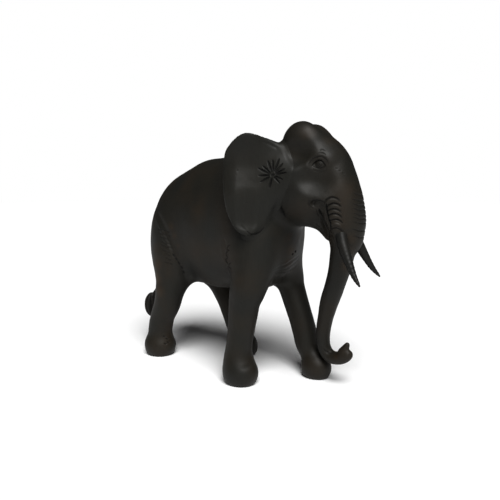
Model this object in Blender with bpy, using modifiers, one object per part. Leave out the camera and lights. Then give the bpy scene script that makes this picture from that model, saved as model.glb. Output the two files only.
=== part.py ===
# Carved wooden elephant, walking, head turned a little to its own left.
# Metres, +Z up, standing on Z = 0, facing -Y.  Its own right side is -X.
import math
import bpy
from mathutils import Matrix, Vector

# ---------------------------------------------------------------- dimensions
MM = 0.001
HEAD_TURN = 12.0                 # degrees to its own left
HEAD_AT = (112.0, 2.0)           # forward, left of the head's own origin (mm)
GLUE_GAP = 0.3 * MM              # clearance left round every inlaid piece

# torso masses: forward, left, up, then the three half-sizes (mm)
TORSO = [
    (-42, 0, 139, 42, 41, 57),
    (8, 0, 148, 74, 44, 67),
    (57, 0, 164, 48, 40, 60),
    (-18, 0, 143, 38, 43.5, 61),
    (34, 0, 157, 36, 42.5, 64.5),
    (60, 0, 130, 37, 38, 43),
    (72, -24, 138, 24, 16, 44),
    (66, 24, 138, 24, 16, 44),
    (-44, -24, 120, 29.5, 18.5, 42),
    (-40, 24, 120, 29.5, 18.5, 42),
]
NECK = [(62, 0, 188, 37), (86, 1, 193.5, 32), (106, 2, 194, 27)]

# legs: forward, left, up, half-thickness (mm)
LEG_FRONT_RIGHT = [(70, -18, 150, 18), (74, -25, 124, 19), (73.6, -30, 96, 16.8), (69.3, -31, 81, 14.4), (66.8, -31, 66, 13.3),
                   (64.4, -31, 51, 12.5), (61.8, -31, 36, 12.2), (60.6, -31, 24, 12.6)]
LEG_FRONT_LEFT = [(64, 17, 148, 18), (66, 25, 122, 18.5), (71, 30, 100, 15.6), (75, 31, 87, 12.9), (80.9, 31, 72.6, 12.0),
                  (86.8, 31, 58.2, 11.7), (92.1, 31, 43.7, 11.6), (96.5, 31, 29.2, 11.6), (99.0, 31, 20, 11.8)]
LEG_HIND_RIGHT = [(-40, -15, 138, 20), (-40, -23, 113, 22.5), (-40.5, -29, 86, 16.8), (-42, -31, 75, 15.1), (-48, -31, 58.5, 13.9),
                  (-56.5, -31, 43.5, 12.8), (-61.0, -31, 30, 13.0), (-62, -31, 20, 13.2)]
LEG_HIND_LEFT = [(-40, 15, 138, 20), (-36, 24, 110, 22.5), (-28, 30, 84, 16.7), (-19.3, 31, 69, 14.2), (-12.1, 31, 58.3, 13.5),
                 (-4.9, 31, 43.2, 13.0), (1.5, 31, 29, 13.1), (5, 31, 20, 13.3)]
# feet: forward, left, half-width, height of the bulb, toe reach (mm)
FEET = [(63.0, -32, 16.5, 30, 4), (105, 31, 14.2, 27, 4.5), (-63, -31, 16.2, 28, 3), (8, 31, 15.4, 30, 4.5)]

# head masses in the head's own frame: forward, left, up, half-sizes (mm)
HEAD = [
    (3, 0, 195, 30, 25, 32),
    (5, 0, 174, 31, 27, 23),
    (2.5, -11.5, 222.5, 18, 12.5, 19),
    (2.5, 11.5, 222.5, 18, 12.5, 19),
]
FACE = [(13, 0, 217, 15.5), (21.5, 0, 204, 18.5), (27.5, 0, 185, 20.5), (33.5, 0, 165, 19), (35.5, 0, 152, 16.5),
        (36, 0, 142, 14)]
JAW = [(6, 0, 166, 13), (14, 0, 156, 9), (22, 0, 145.5, 5)]
EYE = (22.4, 18.6, 204.8, 4.0, 2.6, 2.9)          # the right eye is the same with left negative
LID = (22.0, 17.2, 205.3, 7.4, 3.2, 5.2)
MOUTH = [(19.0, 22.5, 172.0, 1.2), (22.6, 20.6, 166.0, 2.0), (26.0, 18.0, 158.0, 2.2), (29.0, 13.5, 149.5, 2.0),
         (31.0, 7.0, 142.5, 1.8), (31.5, 0.0, 140.5, 1.8)]
TRUNK = [(148.5, 9.7, 143, 12.6), (152.3, 9.5, 139.1, 11.7), (147.9, 11.0, 128.1, 10.3), (144.9, 12.5, 117.0, 9.5),
         (140.7, 14.5, 105.5, 8.8), (135.5, 16.5, 93.6, 8.4), (130.1, 18.5, 81.3, 7.8), (125.6, 20.5, 68.8, 7.1),
         (121.7, 22.5, 56.2, 6.6), (119.4, 24.5, 43.6, 6.2), (120.4, 26.0, 32.7, 5.9), (125.6, 27.0, 25.7, 5.9),
         (134.3, 26.5, 25.6, 5.6), (143.0, 26.0, 29.2, 4.9)]
TRUNK_FINGER = [(141.5, 26, 29, 4.2), (142.3, 26, 35, 3.3), (142.3, 26, 42.0, 2.0)]

# tusk, head frame, right one has left negative (mm)
TUSK = [(25.0, 9.5, 168.0, 3.6), (31.0, 11.5, 160.5, 3.9), (35.5, 12.9, 155.0, 4.4), (38.5, 13.8, 151.0, 4.7),
        (40.5, 14.7, 147.5, 4.7), (43.0, 17.0, 139.8, 4.6), (46.6, 19.4, 131.9, 4.2), (51.2, 22.0, 122.6, 3.3),
        (56.7, 24.8, 113.0, 2.1), (62.0, 27.3, 106.2, 1.0)]

# ear blade, in the blade's own plane: back from the root, up (mm)
EAR_OUTLINE = [(-9, 20), (-4, 31.5), (4, 36.3), (11, 38.9), (19.6, 41.2), (27, 40.7), (34, 36.8), (41, 30.7),
               (45, 25), (46.4, 17.5), (46.6, 9), (46.3, 0), (45.6, -8), (44.4, -16.5), (42.8, -24.5), (40.0, -32),
               (35, -40.2), (29, -44.9), (21.6, -46.4), (15.6, -42.6), (10.5, -37), (6.5, -31), (3, -24.5),
               (-0.5, -17), (-4, -9), (-9, 1), (-12, 10)]
EAR_RIGHT_AT, EAR_RIGHT_DIR = (103.0, -29.0, 190.0), 213.0     # root point, direction the blade runs (degrees)
EAR_LEFT_AT, EAR_LEFT_DIR = (92.5, 31.0, 190.0), 148.0
EAR_BOWL = (20.0, 0.0, 32.5, 43.0, 74.0, 36.0)    # centre back, up, out, then half-sizes back, up, out
EAR_HALF_THICK = 2.1
EAR_ROOT = (-1.0, 6.0, -4.0, 9.5, 16.0, 7.5)       # swelling at the root: centre and half-sizes back, up, out
DOWEL_R, DOWEL_FROM, DOWEL_TO = 2.0, -4.0, -17.0  # round pin, along the outward direction
DOWEL_AT = (0.0, 6.0)

TAIL = [(-74, 0, 163, 3.4), (-82, 0, 161, 3.6), (-87.8, 0.2, 153, 3.7), (-90.5, 1, 138, 3.3), (-91.5, 1, 120, 3.0),
        (-91.5, 0.5, 100, 2.7), (-92, -1.5, 84, 2.5), (-94.5, -6.5, 69, 2.5), (-98.5, -11.8, 58, 3.2)]
TUFT = (-101, -14.5, 47, 5.5, 7.5, 13.5)

COLOURS = {
    "carved_body": (0.030, 0.029, 0.025), "right_ear": (0.034, 0.033, 0.028), "left_ear": (0.034, 0.033, 0.028),
    "right_tusk": (0.026, 0.025, 0.022), "left_tusk": (0.026, 0.025, 0.022), "tail": (0.028, 0.026, 0.023),
    "right_ear_dowel": (0.30, 0.20, 0.11), "left_ear_dowel": (0.30, 0.20, 0.11),
}

# ---------------------------------------------------------------- clean file
for o in list(bpy.data.objects):
    bpy.data.objects.remove(o, do_unlink=True)
parts = bpy.data.collections.new("carved_elephant")
tools = bpy.data.collections.new("cutters")
bpy.context.scene.collection.children.link(parts)
bpy.context.scene.collection.children.link(tools)


# ---------------------------------------------------------------- helpers
def world(f, l, z):
    return Vector((l * MM, -f * MM, z * MM))


TURN = math.radians(HEAD_TURN)


def from_head(f, l, z):
    c, s = math.cos(TURN), math.sin(TURN)
    return (HEAD_AT[0] + f * c - l * s, HEAD_AT[1] + f * s + l * c, z)


def move_to(ob, coll):
    for c in list(ob.users_collection):
        c.objects.unlink(ob)
    coll.objects.link(ob)


def only(ob):
    bpy.ops.object.select_all(action="DESELECT")
    bpy.context.view_layer.objects.active = ob
    ob.select_set(True)


def bake(ob):
    """Apply the modifiers and the placement of one object."""
    only(ob)
    bpy.ops.object.convert(target="MESH")
    bpy.ops.object.transform_apply(location=True, rotation=True, scale=True)
    return ob


def ellipsoid(name, f, l, z, rf, rl, rz, turn=0.0, seg=32):
    bpy.ops.mesh.primitive_uv_sphere_add(segments=seg, ring_count=seg // 2, radius=1.0, location=world(f, l, z),
                                         rotation=(0, 0, turn))
    ob = bpy.context.object
    ob.name = name
    ob.scale = (rl * MM, rf * MM, rz * MM)
    return bake(ob)


def head_ellipsoid(name, f, l, z, rf, rl, rz, seg=32):
    return ellipsoid(name, *from_head(f, l, z), rf, rl, rz, turn=TURN, seg=seg)


def rod(name, rows, depth_res=6, res=4):
    """A carved limb: one smooth curve with its own thickness at every station."""
    cu = bpy.data.curves.new(name, "CURVE")
    cu.dimensions = "3D"
    cu.bevel_depth = 1.0 * MM
    cu.bevel_resolution = depth_res
    cu.use_fill_caps = True
    cu.resolution_u = res
    sp = cu.splines.new("BEZIER")
    sp.bezier_points.add(len(rows) - 1)
    for bp, (f, l, z, r) in zip(sp.bezier_points, rows):
        bp.co = world(f, l, z)
        bp.radius = r
        bp.handle_left_type = bp.handle_right_type = "AUTO"
    ob = bpy.data.objects.new(name, cu)
    bpy.context.scene.collection.objects.link(ob)
    bake(ob)
    w = ob.modifiers.new("seal_caps", "WELD")
    w.merge_threshold = 0.02 * MM
    return bake(ob)


def join(name, obs):
    bpy.ops.object.select_all(action="DESELECT")
    for o in obs:
        o.select_set(True)
    bpy.context.view_layer.objects.active = obs[0]
    bpy.ops.object.join()
    ob = bpy.context.object
    ob.name = name
    ob.data.name = name
    return ob


def blend(ob, voxel, rounds, tris):
    """Melt overlapping masses into one skin, ease the hollows, thin the mesh."""
    m = ob.modifiers.new("melt", "REMESH")
    m.mode = "VOXEL"
    m.voxel_size = voxel * MM
    m.use_smooth_shade = True
    s = ob.modifiers.new("ease", "SMOOTH")
    s.factor = 0.5
    s.iterations = rounds
    bake(ob)
    n = sum(len(p.vertices) - 2 for p in ob.data.polygons)
    if n > tris:
        d = ob.modifiers.new("thin", "DECIMATE")
        d.decimate_type = "COLLAPSE"
        d.ratio = tris / n
        d.use_collapse_triangulate = True
        bake(ob)
    return ob


def boolean(ob, cutter, op):
    m = ob.modifiers.new(op.lower(), "BOOLEAN")
    m.operation = op
    m.solver = "EXACT"
    m.object = cutter
    bake(ob)
    return ob


def swollen(ob, by, name):
    """A copy grown outward by the glue clearance, used to sink its seat."""
    c = ob.copy()
    c.data = ob.data.copy()
    c.name = name
    bpy.context.scene.collection.objects.link(c)
    m = c.modifiers.new("grow", "DISPLACE")
    m.strength = by
    m.mid_level = 0.0
    m.direction = "NORMAL"
    bake(c)
    return c


def to_cutter(ob):
    move_to(ob, tools)
    ob.hide_render = True
    ob.display_type = "WIRE"
    return ob


def cylinder(name, p0, p1, r, seg=32):
    d = p1 - p0
    bpy.ops.mesh.primitive_cylinder_add(vertices=seg, radius=r, depth=d.length, location=(p0 + p1) / 2)
    ob = bpy.context.object
    ob.name = name
    ob.rotation_mode = "QUATERNION"
    ob.rotation_quaternion = d.to_track_quat("Z", "Y")
    return bake(ob)


def box(name, centre, size):
    bpy.ops.mesh.primitive_cube_add(size=1.0, location=centre)
    ob = bpy.context.object
    ob.name = name
    ob.scale = size
    return bake(ob)


def smooth(ob, angle=40.0):
    only(ob)
    bpy.ops.object.shade_smooth_by_angle(angle=math.radians(angle))
    bake(ob)


# ---------------------------------------------------------------- carved block
# first pass: the big masses, eased deeply into one another
masses = [ellipsoid("mass", *row) for row in TORSO]
masses.append(rod("neck", NECK, 8))
for leg in (LEG_FRONT_RIGHT, LEG_FRONT_LEFT, LEG_HIND_RIGHT, LEG_HIND_LEFT):
    masses.append(rod("thigh", leg[:5], 8))
for row in HEAD[:2]:
    masses.append(head_ellipsoid("skull", *row))
masses.append(rod("face", [(*from_head(f, l, z), r) for f, l, z, r in FACE], 8))
block = blend(join("block", masses), 2.4, 26, 200000)

# second pass: the domed crown, face and jaw, eased less
masses = [block] + [head_ellipsoid("crown", *row) for row in HEAD[2:]]
masses.append(rod("face", [(*from_head(f, l, z), r - 0.6) for f, l, z, r in FACE], 8))
masses.append(rod("jaw", [(*from_head(f, l, z), r) for f, l, z, r in JAW], 6))
block = blend(join("block", masses), 2.0, 9, 200000)

# third pass: legs, feet, trunk and eyes, eased only a little
masses = [block]
for leg in (LEG_FRONT_RIGHT, LEG_FRONT_LEFT, LEG_HIND_RIGHT, LEG_HIND_LEFT):
    masses.append(rod("leg", leg[2:], 8))
for f, l, r, h, toe in FEET:
    masses.append(ellipsoid("heel", f, l, h * 0.40, r + 1.0, r, h * 0.60))
    masses.append(ellipsoid("toes", f + toe, l, h * 0.36, r - 0.5, r - 1.5, h * 0.46))
    masses.append(cylinder("sole", world(f + toe * 0.4, l, -6), world(f + toe * 0.4, l, 8), (r - 2.2) * MM))
masses.append(rod("trunk", TRUNK, 6))
masses.append(rod("finger", TRUNK_FINGER, 5))
for side in (-1, 1):
    masses.append(head_ellipsoid("lid", LID[0], LID[1] * side, *LID[2:]))
body = blend(join("carved_body", masses), 1.6, 5, 5600)
for side in (-1, 1):
    eye = head_ellipsoid("eyeball", EYE[0], EYE[1] * side, *EYE[2:], seg=16)
    boolean(body, eye, "UNION")
    bpy.data.objects.remove(eye, do_unlink=True)
mouth = blend(rod("mouth_cut", [(*from_head(f, l, z), r) for f, l, z, r in
                  [(f, -l, z, r) for f, l, z, r in MOUTH] + MOUTH[-2::-1]], 2, 2), 0.5, 1, 900)
boolean(body, mouth, "DIFFERENCE")
to_cutter(mouth)
move_to(body, parts)

# flat soles
under = box("ground_cut", (0.0, 0.0, -0.05), (0.6, 0.6, 0.1))
boolean(body, under, "DIFFERENCE")
to_cutter(under)


# ---------------------------------------------------------------- ears
def ear(name, root, direction, side):
    a = math.radians(direction)
    ea = Vector((math.sin(a), -math.cos(a), 0.0))              # runs back along the blade (world)
    up = Vector((0, 0, 1))
    out = Vector((math.cos(a), math.sin(a), 0.0))
    if out.x * side < 0:
        out = -out
    at = world(*root)

    def put(b, u, n):
        return at + ea * (b * MM) + up * (u * MM) + out * (n * MM)

    # outline, cut through as a thick slab
    cu = bpy.data.curves.new(name + "_outline", "CURVE")
    cu.dimensions = "2D"
    cu.fill_mode = "BOTH"
    cu.extrude = 16 * MM
    cu.resolution_u = 3
    sp = cu.splines.new("BEZIER")
    sp.bezier_points.add(len(EAR_OUTLINE) - 1)
    for bp, (x, y) in zip(sp.bezier_points, EAR_OUTLINE):
        bp.co = (x * MM, y * MM, 0)
        bp.handle_left_type = bp.handle_right_type = "AUTO"
    sp.use_cyclic_u = True
    slab = bpy.data.objects.new(name + "_slab", cu)
    bpy.context.scene.collection.objects.link(slab)
    n3 = ea.cross(up)
    slab.matrix_world = frame_at(ea, up, n3, at)
    bake(slab)
    # dished shell between two nested egg shapes
    c = put(EAR_BOWL[0], EAR_BOWL[1], EAR_BOWL[2])
    shells = []
    for grow in (EAR_HALF_THICK, -EAR_HALF_THICK):
        bpy.ops.mesh.primitive_uv_sphere_add(segments=64, ring_count=32, radius=1.0)
        o = bpy.context.object
        o.scale = ((EAR_BOWL[3] + grow) * MM, (EAR_BOWL[4] + grow) * MM, (EAR_BOWL[5] + grow) * MM)
        bpy.ops.object.transform_apply(scale=True)
        o.matrix_world = frame_at(ea, up, n3, c)
        shells.append(bake(o))
    boolean(shells[0], shells[1], "DIFFERENCE")
    boolean(slab, shells[0], "INTERSECT")
    blade = slab
    root_c = put(*EAR_ROOT[:3])
    bpy.ops.mesh.primitive_uv_sphere_add(segments=32, ring_count=16, radius=1.0)
    boss = bpy.context.object
    boss.scale = (EAR_ROOT[3] * MM, EAR_ROOT[4] * MM, EAR_ROOT[5] * MM)
    bpy.ops.object.transform_apply(scale=True)
    boss.matrix_world = frame_at(ea, up, n3, root_c)
    bake(boss)
    for o in shells:
        to_cutter(o)
    ob = blend(join(name, [blade, boss]), 0.9, 3, 680)
    move_to(ob, parts)
    pin_in = put(DOWEL_AT[0], DOWEL_AT[1], DOWEL_FROM)
    pin_out = put(DOWEL_AT[0], DOWEL_AT[1], DOWEL_TO)
    return ob, pin_in, pin_out, (pin_out - pin_in).normalized()


def frame_at(x, y, z, at):
    m = Matrix((x, y, z)).transposed().to_4x4()
    m.translation = at
    return m


built = {"carved_body": body}
pins = []
for name, root, direction, side in (("right_ear", EAR_RIGHT_AT, EAR_RIGHT_DIR, -1),
                                    ("left_ear", EAR_LEFT_AT, EAR_LEFT_DIR, 1)):
    ob, p0, p1, d = ear(name, root, direction, side)
    seat = swollen(ob, GLUE_GAP, name + "_seat")
    boolean(body, seat, "DIFFERENCE")
    to_cutter(seat)
    hole = cylinder(name + "_dowel_hole", p0 - d * GLUE_GAP, p1 + d * GLUE_GAP, DOWEL_R * MM + GLUE_GAP, 24)
    boolean(ob, hole, "DIFFERENCE")
    boolean(body, hole, "DIFFERENCE")
    to_cutter(hole)
    pin = cylinder(name + "_dowel", p0, p1, DOWEL_R * MM, 24)
    move_to(pin, parts)
    built[name] = ob
    built[name + "_dowel"] = pin

# ---------------------------------------------------------------- tusks
for name, side in (("right_tusk", -1), ("left_tusk", 1)):
    rows = [(*from_head(f, l * side, z), r) for f, l, z, r in TUSK]
    tusk = rod(name, rows, 3, 3)
    tusk.name = name
    move_to(tusk, parts)
    socket = swollen(tusk, GLUE_GAP, name + "_socket")
    boolean(body, socket, "DIFFERENCE")
    to_cutter(socket)
    built[name] = tusk

# ---------------------------------------------------------------- tail
tail = blend(join("tail", [rod("tail_rod", TAIL, 4), ellipsoid("tuft", *TUFT, seg=24)]), 0.8, 2, 480)
move_to(tail, parts)
socket = swollen(tail, GLUE_GAP, "tail_socket")
boolean(body, socket, "DIFFERENCE")
to_cutter(socket)
built["tail"] = tail

# ---------------------------------------------------------------- finish
lo = [min((ob.matrix_world @ v.co)[i] for ob in built.values() for v in ob.data.vertices) for i in range(3)]
hi = [max((ob.matrix_world @ v.co)[i] for ob in built.values() for v in ob.data.vertices) for i in range(3)]
shift = Vector((-(lo[0] + hi[0]) / 2, -(lo[1] + hi[1]) / 2, -lo[2]))
for name, ob in built.items():
    ob.data.transform(ob.matrix_world)
    ob.matrix_world.identity()
    for v in ob.data.vertices:
        v.co += shift
    ob.name = name
    ob.data.name = name
    mat = bpy.data.materials.new(name + "_wood")
    mat.use_nodes = True
    bsdf = mat.node_tree.nodes["Principled BSDF"]
    bsdf.inputs["Base Color"].default_value = (*COLOURS[name], 1.0)
    bsdf.inputs["Roughness"].default_value = 0.42
    ob.data.materials.clear()
    ob.data.materials.append(mat)
    smooth(ob, 35.0)
    print(name, "triangles", sum(len(p.vertices) - 2 for p in ob.data.polygons))
print("shift", [round(c * 1000, 3) for c in shift])
print("size", [round((h - l) * 1000, 2) for h, l in zip(hi, lo)])
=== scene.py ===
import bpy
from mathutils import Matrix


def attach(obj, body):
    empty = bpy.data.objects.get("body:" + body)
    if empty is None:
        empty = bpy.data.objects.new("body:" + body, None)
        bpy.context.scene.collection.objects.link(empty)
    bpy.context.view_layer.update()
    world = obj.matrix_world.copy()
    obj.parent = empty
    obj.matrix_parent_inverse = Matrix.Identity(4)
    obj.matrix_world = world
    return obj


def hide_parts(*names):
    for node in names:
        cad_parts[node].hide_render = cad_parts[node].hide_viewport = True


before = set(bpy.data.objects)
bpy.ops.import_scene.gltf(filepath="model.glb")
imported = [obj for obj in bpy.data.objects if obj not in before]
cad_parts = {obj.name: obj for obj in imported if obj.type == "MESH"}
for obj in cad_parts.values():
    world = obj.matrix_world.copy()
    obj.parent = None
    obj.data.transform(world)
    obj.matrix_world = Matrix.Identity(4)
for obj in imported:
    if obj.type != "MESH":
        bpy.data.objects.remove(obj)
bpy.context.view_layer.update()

import math
import bpy
import numpy as np
from concurrent.futures import ThreadPoolExecutor
from mathutils import Matrix, Vector

F32 = np.float32
SHIFT = (-0.741, 36.292)          # mm, from the carving's own grid (forward, left, up) to the row frame

# ------------------------------------------------------------------ distance fields (millimetres: forward, left, up)
def V(*a): return np.array(a, dtype=F32)


def masked(P, lo, hi, m, fn):
    lo = np.asarray(lo, F32) - m; hi = np.asarray(hi, F32) + m
    k = np.where(((P >= lo) & (P <= hi)).all(1))[0]
    d = np.full(len(P), 1e3, F32)
    if len(k): d[k] = fn(P[k])
    return d


MARGIN = 20.0
_pool = ThreadPoolExecutor(4)


def shared(fn):
    """Measure a long list of points in slices, several at a time."""
    def g(P, *a):
        if len(P) < 6000: return fn(P, *a)
        n = max(4, -(-len(P) // 30000)); cuts = np.array_split(np.arange(len(P)), n)
        return np.concatenate(list(_pool.map(lambda k: fn(P[k[0]:k[-1] + 1], *a), cuts)))
    return g



def ell(P, c, r, R=None):
    c = V(*c); r = V(*r)
    e = np.full(3, r.max(), F32) if R is not None else r

    def f(p):
        q = p - c
        if R is not None: q = q @ np.asarray(R, F32)
        a = q / r; k0 = np.sqrt((a * a).sum(1)); b = a / r; k1 = np.sqrt((b * b).sum(1)) + 1e-9
        return np.where(k0 < 0.05, -r.min(), k0 * (k0 - 1) / k1).astype(F32)
    return masked(P, c - e, c + e, MARGIN, f)


def rc(P, a, b, r1, r2):
    a = V(*a); b = V(*b); R = max(r1, r2)

    def f(p):
        ba = b - a; l2 = float(ba @ ba); rr = r1 - r2; a2 = max(l2 - rr * rr, 1e-4); il2 = 1 / l2
        pa = p - a; y = pa @ ba; z = y - l2
        x = pa * l2 - y[:, None] * ba; x2 = (x * x).sum(1); y2 = y * y * l2; z2 = z * z * l2
        k = np.sign(rr) * rr * rr * x2
        return np.where(np.sign(z) * a2 * z2 > k, np.sqrt(x2 + z2) * il2 - r2,
                        np.where(np.sign(y) * a2 * y2 < k, np.sqrt(x2 + y2) * il2 - r1,
                                 (np.sqrt(np.maximum(x2 * a2 * il2, 0)) + y * rr) * il2 - r1)).astype(F32)
    return masked(P, np.minimum(a, b) - R, np.maximum(a, b) + R, MARGIN, f)


def smin(a, b, k):
    h = np.maximum(k - np.abs(a - b), 0) / k
    return np.minimum(a, b) - h * h * k * 0.25


def smax(a, b, k): return -smin(-a, -b, k)


def spl(pts, n):
    p = np.array(pts, float); out = []
    e = np.vstack([2 * p[0] - p[1], p, 2 * p[-1] - p[-2]])
    for i in range(1, len(e) - 2):
        for t in np.arange(n) / n:
            a, b, c, d = e[i - 1], e[i], e[i + 1], e[i + 2]
            out.append(0.5 * ((2 * b) + (-a + c) * t + (2 * a - 5 * b + 4 * c - d) * t * t + (-a + 3 * b - 3 * c + d) * t ** 3))
    out.append(p[-1]); return np.array(out)


def chain(P, rows, n=3, k=1.5):
    S = spl(rows, n); d = None
    for i in range(len(S) - 1):
        e = rc(P, S[i, :3], S[i + 1, :3], S[i, 3], S[i + 1, 3])
        d = e if d is None else smin(d, e, k)
    return d


# value noise on a fixed lattice, for hand-carved unevenness
_rng = np.random.default_rng(7)
_lat = _rng.uniform(-1, 1, (32, 32, 32)).astype(F32)


def noise(P, scale, off=0.0):
    q = P / scale + off; i = np.floor(q).astype(int); f = (q - i); f = f * f * (3 - 2 * f); i &= 31; j = (i + 1) & 31
    def L(a, b, c): return _lat[a, b, c]
    x0, y0, z0 = i.T; x1, y1, z1 = j.T; fx, fy, fz = f.T
    c00 = L(x0, y0, z0) * (1 - fx) + L(x1, y0, z0) * fx; c10 = L(x0, y1, z0) * (1 - fx) + L(x1, y1, z0) * fx
    c01 = L(x0, y0, z1) * (1 - fx) + L(x1, y0, z1) * fx; c11 = L(x0, y1, z1) * (1 - fx) + L(x1, y1, z1) * fx
    return ((c00 * (1 - fy) + c10 * fy) * (1 - fz) + (c01 * (1 - fy) + c11 * fy) * fz).astype(F32)


# ------------------------------------------------------------------ the carving
TURN = math.radians(12.0); _c, _s = math.cos(TURN), math.sin(TURN)
HO = (112.0, 2.0)


def h2b(pts):
    p = np.atleast_2d(np.array(pts, float))
    return np.stack([HO[0] + p[:, 0] * _c - p[:, 1] * _s, HO[1] + p[:, 0] * _s + p[:, 1] * _c, p[:, 2]], 1)


def b2h(P):
    x = P[:, 0] - HO[0]; y = P[:, 1] - HO[1]
    return np.stack([x * _c + y * _s, -x * _s + y * _c, P[:, 2]], 1).astype(F32)


FR = [(70, -18, 150, 16), (74, -25, 124, 17.5), (73.6, -30, 96, 16.6), (69.3, -31, 81, 14.2), (66.8, -31, 66, 13.1),
      (64.4, -31, 51, 12.3), (61.8, -31, 36, 12.0), (60.6, -31, 26, 12.4)]
FL = [(64, 17, 148, 16), (66, 25, 122, 17), (71, 30, 100, 15.5), (75, 31, 87, 12.6), (80.9, 31, 72.6, 11.8),
      (86.8, 31, 58.2, 11.5), (92.1, 31, 43.7, 11.4), (96.5, 31, 29.2, 11.4)]
HR = [(-40, -17, 136, 20), (-40, -24, 112, 22), (-40.5, -29, 86, 16.6), (-42, -31, 75, 14.9), (-48, -31, 58.5, 13.7),
      (-56.5, -31, 43.5, 12.6), (-61.0, -31, 30, 12.9)]
HL = [(-38, 17, 134, 20), (-36, 25, 108, 22), (-28, 30, 84, 16.5), (-19.3, 31, 69, 14), (-12.1, 31, 58.3, 13.3),
      (-4.9, 31, 43.2, 12.8), (1.5, 31, 29, 12.9)]
FEET = [(FR, (62.6, -31.6, 15.8, 29, 3.6)), (FL, (106, 31, 13.0, 27, 4.0)), (HR, (-63, -31, 16.0, 28, 3)),
        (HL, (6.5, 31, 14.6, 27, 4.0))]
TRUNK = [(152.3, 9.5, 139.1, 11.7), (147.9, 11.0, 128.1, 10.3), (144.9, 12.5, 117.0, 9.5), (140.7, 14.5, 105.5, 8.8),
         (135.5, 16.5, 93.6, 8.4), (130.1, 18.5, 81.3, 7.8), (125.6, 20.5, 68.8, 7.1), (121.7, 22.5, 56.2, 6.6),
         (119.4, 24.5, 43.6, 6.2), (120.4, 26.0, 32.7, 5.9), (125.6, 27.0, 25.7, 5.9), (134.3, 26.5, 25.8, 5.7),
         (141.0, 26.0, 28.4, 5.6), (146.2, 26.0, 31.8, 4.6)]


def foot(P, f, l, r, h, toe):
    a = ell(P, (f, l, h * 0.40), (r + 1.0, r, h * 0.60))
    b = ell(P, (f + toe, l, h * 0.36), (r - 0.5, r - 1.5, h * 0.46))
    c = rc(P, (f - 1, l, 6), (f + toe - 1, l, 6), r - 3.0, r - 3.5)
    c = smax(c, P[:, 2] - 12, 4)
    return smin(smin(a, b, 5), c, 4)


def trunk(P):
    tr = chain(P, TRUNK)
    tr = smin(tr, rc(P, (141.0, 26, 33), (145.2, 26, 41.2), 5.0, 2.3), 2.0)
    tr = smax(tr, -rc(P, (153.5, 22.5, 37.0), (151.5, 23.0, 32.5), 3.2, 2.4), 1.2)
    return tr


@shared
def body(P):
    P = P.astype(F32)
    t = ell(P, (-42, 0, 139), (42, 41, 57))
    t = smin(t, ell(P, (8, 0, 148), (74, 44, 67)), 18)
    t = smin(t, ell(P, (57, 0, 164), (48, 40, 60)), 18)
    t = smin(t, ell(P, (60, 0, 130), (37, 38, 43)), 14)
    for s in (-1, 1):
        t = smin(t, ell(P, (72 if s < 0 else 66, s * 24, 138), (24, 16, 44)), 12)
        t = smin(t, ell(P, (-44 if s < 0 else -40, s * 24, 120), (29.5, 18.5, 42)), 12)
    t = smin(t, rc(P, (68, 0, 190), (106, 2, 193), 35, 28), 14)
    for L, fr in FEET:
        leg = chain(P, L, 3, 2)
        leg = smin(leg, foot(P, *fr), 8)
        leg = smax(leg, -P[:, 2], 2.5)
        t = smin(t, leg, 10)
    h = b2h(P)
    skull, base = head(h)
    t = smin(t, skull, 12)
    base = smin(base, trunk(P), 7)
    k = np.clip((h[:, 2] - 160) / 15, 0, 1); k = 1.2 + 8.8 * k * k * (3 - 2 * k)     # the mouth stays open below
    t = smin(t, base, k.astype(F32))
    for s in (-1, 1):                              # hollows cut after the masses are joined
        t = smax(t, -ell(h, (3, s * 32.0, 213.5), (14, 10, 8.5)), 10)            # temple
        t = smax(t, -ell(h, (26, s * 31.5, 191.5), (15, 9.5, 10)), 10)           # under the eye
        t = smax(t, -ell(h, (23.4, s * 25.6, 204.6), (7.4, 5.6, 5.2)), 4)        # socket
        t = smin(t, ell(h, (22.4, s * 17.6, 204.4), (4.4, 4.1, 3.8)), 0.8)       # eyeball
        t = smax(t, -rc(h, (20.5, s * 25.0, 171.5), (25.5, s * 25.2, 169.0), 2.2, 2.6), 4)   # corner of the mouth
    return t


def head(h):
    """The skull with its lower jaw, and the forehead running down into the root of the trunk."""
    hd = ell(h, (3, 0, 195), (30, 25, 32))
    dm = None
    for s in (-1, 1):
        d = ell(h, (2.5, s * 11.8, 222.3), (18, 12.3, 19.2))
        dm = d if dm is None else smin(dm, d, 3)
    hd = smin(hd, dm, 7)
    hd = smin(hd, ell(h, (5, 0, 174), (31, 27, 23)), 10)
    hd = smin(hd, chain(h, [(5, 0, 168, 14), (13, 0, 163.5, 12), (19.5, 0, 155.0, 8.0), (23.4, 0, 147, 4.8), (25.6, 0, 141.0, 2.4)], 3, 3), 6)
    for s in (-1, 1):
        hd = smin(hd, rc(h, (-8, s * 21.5, 198), (15, s * 20.0, 202.5), 6.0, 4.5), 9)         # cheekbone
        hd = smin(hd, ell(h, (12, s * 17.0, 178), (16, 10, 12)), 9)                          # cheek
    fr = chain(h, [(13, 0, 217, 15.5), (21.5, 0, 204, 18.5), (27.5, 0, 185, 20.5), (34.5, 0, 167, 18.6),
                   (38.6, 0, 153.5, 15.4), (40.6, 0, 143, 12.4)], 2, 6)
    for s in (-1, 1):
        fr = smin(fr, rc(h, (11, s * 14.5, 213), (26, s * 13.5, 208.5), 5.5, 5.5), 8)         # brow
        fr = smin(fr, chain(h, [(29, s * 12.6, 173, 9.4), (35.0, s * 13.4, 160, 8.2), (39.0, s * 14.3, 150.8, 6.7)], 3, 2), 4)
    return hd, fr


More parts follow.
